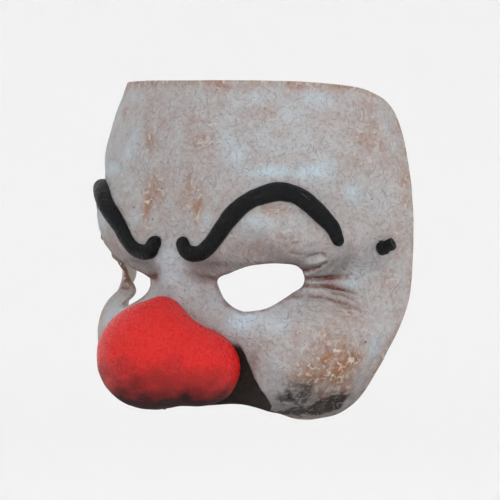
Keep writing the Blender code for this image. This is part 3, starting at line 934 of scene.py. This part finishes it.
def painted_skin():
    """Aged flesh paint: warm and cool patches, rust in the folds, stains and brush marks, with painted
    shade in the folds, cracks and lip recess, under the cheek and on faces that look down, and a faint
    painted highlight on the ridges.
    """
    skin = bpy.context.scene.mask_skin
    material, tree, shader, coords = new_material("painted_skin", Metallic=0.0, Specular_IOR_Level=0.22)
    worms = place_group(tree, "Worm ridges", make_worms, coords, Size=0.0050, Width=0.080)
    cracks = place_group(tree, "Worm ridges", make_worms, coords, Size=0.0036, Width=0.060)
    cloud = place_group(tree, "Blotches", make_blotches, coords, Size=0.024, Edge=0.12)
    small = place_group(tree, "Blotches", make_blotches, coords, Size=0.008, Edge=0.12)
    speck = place_group(tree, "Blotches", make_blotches, coords, Size=0.0020, Edge=0.14)
    pits = place_group(tree, "Pits", make_pits, coords, Size=0.0060, Share=0.14)
    under = place_group(tree, "Painted underside shade", make_painted_underside_shade, coords, From=-0.20, Full=-0.90)
    cracks = minus(tree, cracks, worms, clamp=True)

    ground = mix(tree, times(tree, small, 0.20), skin.ground, skin.tan)
    ragged = plus(tree, times(tree, small, 0.8), 0.5)
    blue = times(tree, mask_of(tree, "blue"), ragged, clamp=True)
    blue = greater(tree, blue, times(tree, cloud, 0.25))
    colour = mix(tree, blue, ground, skin.blue)
    warm = times(tree, mask_of(tree, "tan"), ragged, clamp=True)
    colour = mix(tree, warm, colour, skin.tan)
    rust = times(tree, mask_of(tree, "rust"), ragged, clamp=True)
    colour = mix(tree, rust, colour, skin.rust)
    colour = mix(tree, times(tree, speck, 0.14), colour, skin.rust)
    # Painted shade: the fine cracks are painted a little darker, as the shade in their grooves.
    colour = mix(tree, times(tree, cracks, 0.20), colour, skin.rust)
    # Cream on the raised ridges: strong on the tan patches, where the ridges carry pale paint, and faint
    # elsewhere as a painted highlight on their tops.
    raised = plus(tree, times(tree, warm, 0.70), 0.16)
    colour = mix(tree, times(tree, worms, raised), colour, skin.cream)
    colour = mix(tree, times(tree, pits, 0.75), colour, skin.rust)
    # Stains and painted shade: the dark patches, partly stains and partly painted shade under the cheek,
    # the painted shade of the sunken lip and the painted shade on faces that look down, all in the dark
    # colour.
    stain_and_shade = plus(tree, mask_of(tree, "dark"), times(tree, small, 0.35))
    stain_and_shade = ramp(tree, stain_and_shade, 0.35, 1.10)
    stain_and_shade = times(tree, stain_and_shade, ramp(tree, worms, 0.2, 0.8, 1.0, 0.80), clamp=True)
    # Painted shade: the sunken lip beside the nose is painted dark.
    stain_and_shade = greater(tree, stain_and_shade, mask_of(tree, "lip"))
    # Painted shade on faces that look down.
    stain_and_shade = greater(tree, stain_and_shade, times(tree, under, 0.70))
    inner = mask_of(tree, "inner")
    stain_and_shade = times(tree, stain_and_shade, minus(tree, 1.0, inner))
    colour = mix(tree, stain_and_shade, colour, skin.dark)
    colour = mix(tree, inner, colour, (0.34, 0.29, 0.25))
    link(tree, colour, shader.inputs["Base Color"])
    shine = ramp(tree, small, 0.0, 1.0, 0.50, 0.64)
    link(tree, greater(tree, shine, times(tree, stain_and_shade, 0.85)), shader.inputs["Roughness"])

    outer = minus(tree, 1.0, times(tree, inner, 0.7))
    height = minus(tree, worms, times(tree, cracks, 0.6))
    height = plus(tree, height, times(tree, speck, 0.30))
    height = minus(tree, height, pits)
    normal = bump(tree, times(tree, height, outer), 0.00040)
    link(tree, normal, shader.inputs["Normal"])
    return material


def glossy_red():
    """Thick glossy red paint with a fine grain, painted darker underneath as shade."""
    nose = bpy.context.scene.mask_nose
    material, tree, shader, coords = new_material(
        "glossy_red", Metallic=0.0, Coat_Weight=0.0, Specular_IOR_Level=0.30
    )
    cloud = place_group(tree, "Blotches", make_blotches, coords, Size=0.016, Edge=0.16)
    grain = place_group(tree, "Blotches", make_blotches, coords, Size=0.0017, Edge=0.20)
    under = place_group(tree, "Painted underside shade", make_painted_underside_shade, coords, From=0.10, Full=-0.80)
    worms = place_group(tree, "Worm ridges", make_worms, coords, Size=0.0030, Width=0.060)
    colour = mix(tree, times(tree, cloud, 0.45), nose.red, nose.crimson)
    colour = mix(tree, times(tree, mask_of(tree, "rim"), 0.6), colour, nose.crimson)
    # Painted shade: the red runs to near black on faces that look down.
    colour = mix(tree, under, colour, (0.020, 0.002, 0.002))
    link(tree, colour, shader.inputs["Base Color"])
    shine = ramp(tree, grain, 0.0, 1.0, 0.22, 0.40)
    link(tree, greater(tree, shine, under), shader.inputs["Roughness"])
    height = plus(tree, grain, times(tree, worms, 0.5))
    link(tree, bump(tree, height, nose.grain_height), shader.inputs["Normal"])
    return material


def black_paint(name, size):
    """Black paint over lumpy latex, a little grey-blue on its grain: partly wear, partly a painted sheen.
    """
    trim = bpy.context.scene.mask_trim
    material, tree, shader, coords = new_material(
        name, Metallic=0.0, Coat_Weight=0.10, Coat_Roughness=0.18, Specular_IOR_Level=0.10
    )
    grain = place_group(tree, "Blotches", make_blotches, coords, Size=size, Edge=0.20)
    wear_and_sheen = place_group(tree, "Worm ridges", make_worms, coords, Size=2 * size, Width=0.05)
    # Grey-blue along the grain ridges: partly worn paint, partly a painted sheen.
    colour = mix(tree, times(tree, wear_and_sheen, 0.22), trim.black, (0.020, 0.023, 0.028))
    link(tree, colour, shader.inputs["Base Color"])
    link(tree, ramp(tree, grain, 0.0, 1.0, 0.34, 0.48), shader.inputs["Roughness"])
    height = plus(tree, grain, times(tree, wear_and_sheen, 0.6))
    link(tree, bump(tree, height, 0.00040), shader.inputs["Normal"])
    return material


def black_named(name, size):
    return bpy.data.materials.get(name) or black_paint(name, size)


def boundary_edges(faces):
    """Directed edges that only one face uses."""
    seen = {}
    for face in faces:
        for a, b in zip(face, face[1:] + face[:1]):
            seen[(a, b)] = True
    return [(a, b) for a, b in seen if (b, a) not in seen]


def skin_sheet(spacing):
    """The skin as flat places and triangles, trimmed at its edges and openings."""
    skin = bpy.context.scene.mask_skin
    outer = evenly(skin_edge(), spacing, closed=True)
    eyes = [evenly(eye_edge(side), 0.8 * spacing, closed=True) for side in (-1, 1)]
    opening = evenly(nose_footprint(skin.wall + NOSE_LEDGE), spacing, closed=True)
    holes = [*eyes, opening, strap_hole(-1), strap_hole(1)]
    coarse, fine = lattice(spacing), lattice(spacing / 2)
    field = np.vstack([coarse[~in_fine_zone(coarse)], fine[in_fine_zone(fine)]])
    keep = inside(field, outer) & (distance_to(field, outer) > 0.55 * spacing)
    for hole in holes:
        keep &= ~inside(field, hole) & (distance_to(field, hole) > 0.55 * spacing)
    points, edges = [], []
    for loop in [outer, *holes]:
        first, count = len(points), len(loop)
        points.extend(loop)
        edges += [(first + i, first + (i + 1) % count) for i in range(count)]
    points += [*field[keep]]
    places, _, faces, *_ = delaunay_2d_cdt(points, edges, [], 2, 1e-7)
    places = np.array(places)
    middles = np.array([places[list(face)].mean(axis=0) for face in faces])
    cut = np.any([inside(middles, hole) for hole in holes], axis=0)
    faces = [list(face) for face, gone in zip(faces, cut) if not gone]
    return places, faces, outer, eyes, holes


def patches(table, across, up):
    """How strongly the strongest patch of a table shows at each place."""
    return np.max([patch_strength(row, across, up) for row in table], axis=0)


def skin_mask(piece, name, outer, rims, behind=0.0, rim=None):
    """A mask from values on the outer face, behind it and round the cut edge."""
    edge = outer[rims] if rim is None else np.full(len(rims), rim)
    add_mask(piece, name, np.concatenate([outer, np.full(len(outer), behind), edge]))


def build_skin():
    """The wrinkled skin: lumpy outer face, smoother inner face and a rounded cut edge."""
    skin = bpy.context.scene.mask_skin
    places, faces, edge, eyes, holes = skin_sheet(skin.spacing)
    across, up = places.T
    count = len(places)
    to_edge = distance_to(places, edge)
    to_eye = np.minimum(*(distance_to(places, eye) for eye in eyes))
    to_hole = np.minimum(to_eye, np.min([distance_to(places, h) for h in holes[2:]], axis=0))
    to_rim = np.minimum(to_edge, to_hole)
    bare, normal = bare_skin(across, up), skin_normals(across, up)

    calm = smooth(to_rim, 0, 3 * MM)
    lift = skin.lump_height * lumps(bare, 9 * MM, 1)
    lift += 0.5 * skin.lump_height * lumps(bare, 3.6 * MM, 2) * calm
    crease = np.zeros(count)
    for row in CREASES:
        strength = fold_strength(row, across, up)
        lift += row[6] * 0.55 * skin.fold_depth * strength
        crease = np.maximum(crease, -row[6] * strength)
    lip = lip_strength(across, up)
    lift -= skin.lip_drop * lip * smooth(to_edge, 0, 2 * MM)
    outside = bare + normal * lift[:, None]
    wall = skin.wall * (0.55 + 0.45 * smooth(to_rim, 0, 5 * MM))
    behind = bare - normal * (wall + 0.5 * (skin.wall - wall))[:, None]

    area = np.cross(places[faces[0][1]] - places[faces[0][0]], places[faces[0][2]] - places[faces[0][0]])
    if area < 0:
        faces = [face[::-1] for face in faces]
    borders = boundary_edges(faces)
    points = [*outside, *behind]
    made = list(faces) + [[i + count for i in face[::-1]] for face in faces]
    onward = {a: b for a, b in borders}
    backward = {b: a for a, b in borders}
    middle = {}
    for a in onward:
        along = outside[onward[a]] - outside[backward[a]]
        out = np.cross(along, normal[a])
        out /= np.linalg.norm(out)
        middle[a] = len(points)
        points.append((outside[a] + behind[a]) / 2 + out * 0.25 * wall[a])
    for a, b in borders:
        made.append([b, a, middle[a], middle[b]])
        made.append([middle[b], middle[a], a + count, b + count])
    piece = new_piece("painted_skin", points, made, painted_skin(), ["face_shell"])

    rims = list(middle)
    worn = 0.5 * (1 - smooth(to_edge, 0, 6 * MM))
    skin_mask(piece, "tan", np.maximum(patches(TAN_PATCHES, across, up), worn), rims)
    skin_mask(piece, "blue", patches(BLUE_PATCHES, across, up), rims)
    skin_mask(piece, "dark", patches(DARK_PATCHES, across, up), rims)
    # The lip mask paints the sunken lip dark: painted shade of the recess between nose and cheek.
    skin_mask(piece, "lip", lip, rims)
    lids = 0.55 * (1 - smooth(to_eye, 0.3 * MM, 2.2 * MM))
    # Rust along the grooves of the folds and creases: partly rust paint, partly painted shade in the
    # grooves.
    folds = np.max([-row[6] * fold_strength(row, across, up) for row in FOLDS[1:]], axis=0)
    rust = patches(RUST_PATCHES, across, up)
    rust = np.maximum.reduce([rust, lids, 0.45 * folds**3, 0.9 * crease])
    skin_mask(piece, "rust", rust, rims)
    skin_mask(piece, "inner", np.zeros(count), rims, behind=1.0, rim=0.3)


def build_nose():
    """The hollow bulb: lumpy outer face, plain inner face and the rim on the skin."""
    skin, nose = bpy.context.scene.mask_skin, bpy.context.scene.mask_nose
    rays, rings = 200, 84
    turn = np.linspace(0, 2 * math.pi, rays + 1)[:-1]
    share = np.arange(1, rings + 1)[:, None] / rings
    points, starts = [], []
    for inset in (0, skin.wall):
        polar = share * nose_rim(turn, inset, GAP)
        grid = nose_point(polar, turn + 0 * polar, inset).reshape(-1, 3)
        tip = nose_point(np.zeros(1), np.zeros(1), inset)
        starts.append(len(points))
        points += [*tip, *grid]
    points = np.array(points)
    middle = np.array((0, -nose.forward, -nose.drop))
    outward = points - middle
    outward /= np.linalg.norm(outward, axis=1, keepdims=True)
    outer_count = rays * rings + 1
    bulge = 0.30 * MM * lumps(points[:outer_count], 8 * MM, 3)
    bulge += 0.10 * MM * lumps(points[:outer_count], 2.6 * MM, 4)
    hold = np.append(1, np.repeat(1 - smooth(np.linspace(0, 1, rings), 0.93, 1.0), rays))
    points[:outer_count] += outward[:outer_count] * (bulge * hold)[:, None]
    faces = []
    for flip, first in zip((False, True), starts):
        for i in range(rays):
            j = (i + 1) % rays
            fan = [first, first + 1 + i, first + 1 + j]
            faces.append(fan[::-1] if flip else fan)
            for k in range(rings - 1):
                a, b = first + 1 + k * rays, first + 1 + (k + 1) * rays
                quad = [a + i, b + i, b + j, a + j]
                faces.append(quad[::-1] if flip else quad)
    outer, inner = starts[0] + 1 + (rings - 1) * rays, starts[1] + 1 + (rings - 1) * rays
    for i in range(rays):
        j = (i + 1) % rays
        faces.append([outer + i, inner + i, inner + j, outer + j])
    piece = new_piece("bulb_nose", points, faces, glossy_red(), ["nose"])
    rim = np.append(0, np.repeat(smooth(np.linspace(0, 1, rings), 0.90, 1.0), rays))
    add_mask(piece, "rim", np.concatenate([rim, 0 * rim]))


def build_brow(side):
    """A domed lumpy roll with round ends, laid along its line on the skin."""
    trim = bpy.context.scene.mask_trim
    table = np.array(BROW_LINE)
    curve = spline(shares(table[:, :2]), parts=8)
    rows_at = np.append(0, np.cumsum(np.hypot(*np.diff(curve, axis=0).T)))[::8]
    line = evenly(curve, STEP) * (side, 1)
    along = np.append(0, np.cumsum(np.hypot(*np.diff(line, axis=0).T)))
    radius, total = trim.brow_width / 2, along[-1]
    share = np.linspace(0, 1, trim.stations + 1)
    share = (share + (1 - np.cos(math.pi * share)) / 2) / 2
    run = (total + 2 * radius) * share - radius
    core = np.clip(run, 0, total)
    before, at, after = (
        np.stack([np.interp(core + d, along, line[:, k]) for k in range(2)], axis=1)
        for d in (-STEP, 0, STEP)
    )
    way = (after - before) / np.linalg.norm(after - before, axis=1, keepdims=True)
    across = np.stack([-way[:, 1], way[:, 0]], axis=1)
    width = table_curve(rows_at, table[:, 2], run)
    half = width * np.sqrt(np.maximum(radius**2 - (run - core) ** 2, 0))
    at = at + way * (run - core)[:, None]
    turns = np.linspace(math.pi, 0, 19)
    place = np.append(np.cos(turns), (0.6, 0.2, -0.2, -0.6))
    lift = np.append(np.sin(turns) ** 0.9, np.zeros(4))
    rings = []
    for k in range(1, trim.stations):
        swell = 1 + 0.07 * noise.noise(Vector((run[k] / (7 * MM), side * 3.0, 0.5)))
        spots = at[k] + across[k] * (place * half[k] * swell)[:, None]
        height = BROW_SEAT + lift * trim.brow_height * half[k] / radius
        rings.append(skin_point(spots[:, 0], spots[:, 1], height))
    rings = np.array(rings)
    middle = rings.mean(axis=1, keepdims=True)
    outward = rings - middle
    outward /= np.linalg.norm(outward, axis=2, keepdims=True)
    dents = lumps(rings.reshape(-1, 3), 4 * MM, 5).reshape(rings.shape[:2])
    dents += 0.5 * lumps(rings.reshape(-1, 3), 1.6 * MM, 6).reshape(rings.shape[:2])
    free = (lift > 0.2)[None, :]
    rings = rings + outward * (0.16 * MM * dents * free)[..., None]
    count, last = len(place), len(rings) - 1
    ends = [skin_point(*at[k][:, None], BROW_SEAT)[0] for k in (0, -1)]
    points = [*rings.reshape(-1, 3), *ends]
    faces = []
    for i in range(count):
        j = (i + 1) % count
        faces.append([len(points) - 2, i, j])
        faces.append([len(points) - 1, last * count + j, last * count + i])
        for k in range(last):
            a, b = k * count, (k + 1) * count
            faces.append([a + i, b + i, b + j, a + j])
    hand = "left" if side < 0 else "right"
    material = black_named("brow_black", 0.0016)
    new_piece(f"brow_roll_{hand}", points, faces, material, [f"brow_{hand}"])


def build_knot(side):
    """The elastic: a flat head and shank through the skin, its knot and its cut end."""
    trim, skin = bpy.context.scene.mask_trim, bpy.context.scene.mask_skin
    sides, radius = 40, trim.knot_radius
    place = np.array([side * KNOT_ACROSS]), np.array([KNOT_HEIGHT])
    seat, out = skin_point(*place)[0], skin_normals(*place)[0]
    rise = np.array((0, 0, 1.0)) - out * out[2]
    rise /= np.linalg.norm(rise)
    back = np.cross(rise, out) * side
    lean = rise * math.cos(KNOT_LEAN) + back * math.sin(KNOT_LEAN)
    hinge = np.cross(out, lean) * side
    behind = skin.wall + GAP
    head = 0.9 * radius
    rings = [
        (seat - out * (behind + 0.34 * radius), out, 0.3 * head, 0.0),
        (seat - out * (behind + 0.34 * radius), out, 0.86 * head, 0.0),
        (seat - out * (behind + 0.20 * radius), out, head, 0.0),
        (seat - out * behind, out, 0.96 * head, 0.0),
        (seat - out * behind, out, trim.shank_radius, 0.0),
        (seat + out * GAP, out, trim.shank_radius, 0.0),
    ]
    columns = np.array(KNOT_FORM).T
    steps = np.linspace(columns[0][0], columns[0][-1], 46)
    sizes = table_curve(columns[0], columns[1], steps)
    centre, last = seat + out * GAP, 0.0
    for step, size in zip(steps, sizes):
        angle = KNOT_BEND * min(1.0, step / BENT_BY)
        heading = out * math.cos(angle) + lean * math.sin(angle)
        centre = centre + heading * (step - last) * radius
        last = step
        rings.append((centre, heading, size * radius, 1.0 if step < BENT_BY else 0.35))
    rings.append((centre, heading, 0.72 * sizes[-1] * radius, 0.35))
    rings.append((centre - heading * 0.12 * radius, heading, 0.30 * sizes[-1] * radius, 0.0))
    points, faces = [], []
    turns = np.arange(sides) * 2 * math.pi / sides
    for k, (middle, heading, size, rough) in enumerate(rings):
        u = np.cross(heading, hinge)
        u /= np.linalg.norm(u)
        v = np.cross(heading, u)
        ridge = 1 + 0.05 * rough * np.cos(3 * turns + 0.35 * k)
        spokes = u * np.cos(turns)[:, None] + v * np.sin(turns)[:, None]
        points += [*(middle + spokes * (size * ridge)[:, None])]
    points = np.array(points)
    points += 0.12 * MM * lumps(points, 2.2 * MM, 7)[:, None] * out
    for k in range(len(rings) - 1):
        for i in range(sides):
            j = (i + 1) % sides
            a, b = k * sides, (k + 1) * sides
            faces.append([a + j, b + j, b + i, a + i])
    faces.append(list(range(sides)))
    faces.append([len(rings) * sides - 1 - i for i in range(sides)])
    hand = "left" if side < 0 else "right"
    material = black_named("knot_black", 0.0010)
    new_piece(f"elastic_knot_{hand}", points, faces, material, [f"strap_knot_{hand}"])


class MASK_OT_build_skin(bpy.types.Operator):
    """Build the painted skin"""

    bl_idname = "mask.build_skin"
    bl_label = "Build Skin"

    def execute(self, context):
        build_skin()
        return {"FINISHED"}


class MASK_OT_build_nose(bpy.types.Operator):
    """Build the red bulb nose"""

    bl_idname = "mask.build_nose"
    bl_label = "Build Nose"

    def execute(self, context):
        build_nose()
        return {"FINISHED"}


class MASK_OT_build_brows(bpy.types.Operator):
    """Build both brow rolls"""

    bl_idname = "mask.build_brows"
    bl_label = "Build Brows"

    def execute(self, context):
        for side in (-1, 1):
            build_brow(side)
        return {"FINISHED"}


class MASK_OT_build_knots(bpy.types.Operator):
    """Build both knots of the elastic"""

    bl_idname = "mask.build_knots"
    bl_label = "Build Knots"

    def execute(self, context):
        for side in (-1, 1):
            build_knot(side)
        return {"FINISHED"}


# Soft lamps: metres ahead of the mask, to its right and above it, size, share of the power
LAMPS = (
    # name, ahead, beside, higher, size, share
    ("front", 1.50, 0.05, 0.55, 0.50, 1.0),
    ("near side", 0.70, 1.00, 0.45, 0.20, 0.60),
    ("far side", 0.60, -1.10, 0.60, 0.14, 0.22),
)


def add_light(name, place, aim, size, power, colour):
    light = bpy.data.lights.new(name, "AREA")
    light.shape = "DISK"
    light.size = size
    light.energy = power
    light.color = colour
    lamp = bpy.data.objects.new(name, light)
    bpy.context.scene.collection.objects.link(lamp)
    lamp.location = place
    lamp.rotation_euler = (Vector(place) - Vector(aim)).to_track_quat("Z", "Y").to_euler()


def build_floor(stage):
    """A wide pale floor that sweeps up into a wall all round, far from the mask."""
    profile = [(2.0, 0.0), (2.2, 0.0)]
    turns = np.linspace(0, QUARTER, 13)[1:]
    profile += [(2.2 + 0.8 * math.sin(a), 0.8 - 0.8 * math.cos(a)) for a in turns]
    profile.append((3.0, 4.0))
    sides = 72
    points, faces = [], []
    for reach, rise in profile:
        for i in range(sides):
            a = 2 * math.pi * i / sides
            points.append((reach * math.cos(a), reach * math.sin(a), rise - stage.floor_drop))
    faces.append(list(range(sides)))
    for k in range(len(profile) - 1):
        for i in range(sides):
            j = (i + 1) % sides
            faces.append([k * sides + i, (k + 1) * sides + i, (k + 1) * sides + j, k * sides + j])
    mesh = bpy.data.meshes.new("floor")
    mesh.from_pydata(points, [], faces)
    mesh.shade_smooth()
    material, _, shader, _ = new_material("pale_floor", Roughness=0.9)
    shader.inputs["Base Color"].default_value = (0.96, 0.96, 0.96, 1)
    mesh.materials.append(material)
    floor = bpy.data.objects.new("floor", mesh)
    bpy.context.scene.collection.objects.link(floor)


class MASK_OT_build_stage(bpy.types.Operator):
    """Set the camera, soft light and pale floor"""

    bl_idname = "mask.build_stage"
    bl_label = "Build Stage"

    def execute(self, context):
        scene = context.scene
        stage = scene.mask_stage
        a, e = math.radians(stage.azimuth), math.radians(stage.elevation)
        right = Vector((math.cos(a), math.sin(a), 0))
        toward = Vector((math.sin(a) * math.cos(e), -math.cos(a) * math.cos(e), math.sin(e)))
        target = right * stage.aim
        lens = bpy.data.cameras.new("camera")
        lens.sensor_width = 36
        lens.lens = lens.sensor_width * stage.distance / stage.view_width
        lens.clip_start = 0.01
        camera = bpy.data.objects.new("camera", lens)
        scene.collection.objects.link(camera)
        camera.location = target + toward * stage.distance
        camera.rotation_euler = toward.to_track_quat("Z", "Y").to_euler()
        scene.camera = camera
        above = Vector((0, 0, 1))
        for name, ahead, beside, higher, size, share in LAMPS:
            place = target + toward * ahead + right * beside + above * higher
            add_light(name, place, target, size, share * stage.key_power, (1.0, 1.0, 1.0))
        world = bpy.data.worlds.new("studio")
        world.use_nodes = True
        sky = world.node_tree.nodes["Background"]
        sky.inputs["Color"].default_value = (1, 1, 1, 1)
        sky.inputs["Strength"].default_value = stage.world_light
        scene.world = world
        scene.view_settings.view_transform = "Standard"
        build_floor(stage)
        return {"FINISHED"}


class MASK_PT_panel(bpy.types.Panel):
    """Sizes, colours and steps of the half mask"""

    bl_label = "Half Mask"
    bl_idname = "MASK_PT_panel"
    bl_space_type = "VIEW_3D"
    bl_region_type = "UI"
    bl_category = "Half Mask"

    def draw(self, context):
        for label, group, steps in PANEL_PARTS:
            box = self.layout.box()
            box.label(text=label)
            settings = getattr(context.scene, group)
            for name in settings.bl_rna.properties.keys():
                if name not in ("rna_type", "name"):
                    box.prop(settings, name)
            for step in steps:
                box.operator(step)


PANEL_PARTS = (
    ("Skin", "mask_skin", ("mask.build_skin",)),
    ("Nose", "mask_nose", ("mask.build_nose",)),
    ("Brows and knots", "mask_trim", ("mask.build_brows", "mask.build_knots")),
    ("Stage", "mask_stage", ("mask.build_stage",)),
)

CLASSES = (
    SkinSettings,
    NoseSettings,
    TrimSettings,
    StageSettings,
    MASK_OT_build_skin,
    MASK_OT_build_nose,
    MASK_OT_build_brows,
    MASK_OT_build_knots,
    MASK_OT_build_stage,
    MASK_PT_panel,
)


def register():
    for each in CLASSES:
        bpy.utils.register_class(each)
    bpy.types.Scene.mask_skin = PointerProperty(type=SkinSettings)
    bpy.types.Scene.mask_nose = PointerProperty(type=NoseSettings)
    bpy.types.Scene.mask_trim = PointerProperty(type=TrimSettings)
    bpy.types.Scene.mask_stage = PointerProperty(type=StageSettings)


def unregister():
    for name in ("mask_skin", "mask_nose", "mask_trim", "mask_stage"):
        delattr(bpy.types.Scene, name)
    for each in reversed(CLASSES):
        bpy.utils.unregister_class(each)


def main():
    register()
    for _, _, steps in PANEL_PARTS:
        for step in steps:
            group, name = step.split(".")
            getattr(getattr(bpy.ops, group), name)()


if __name__ == "__main__":
    main()
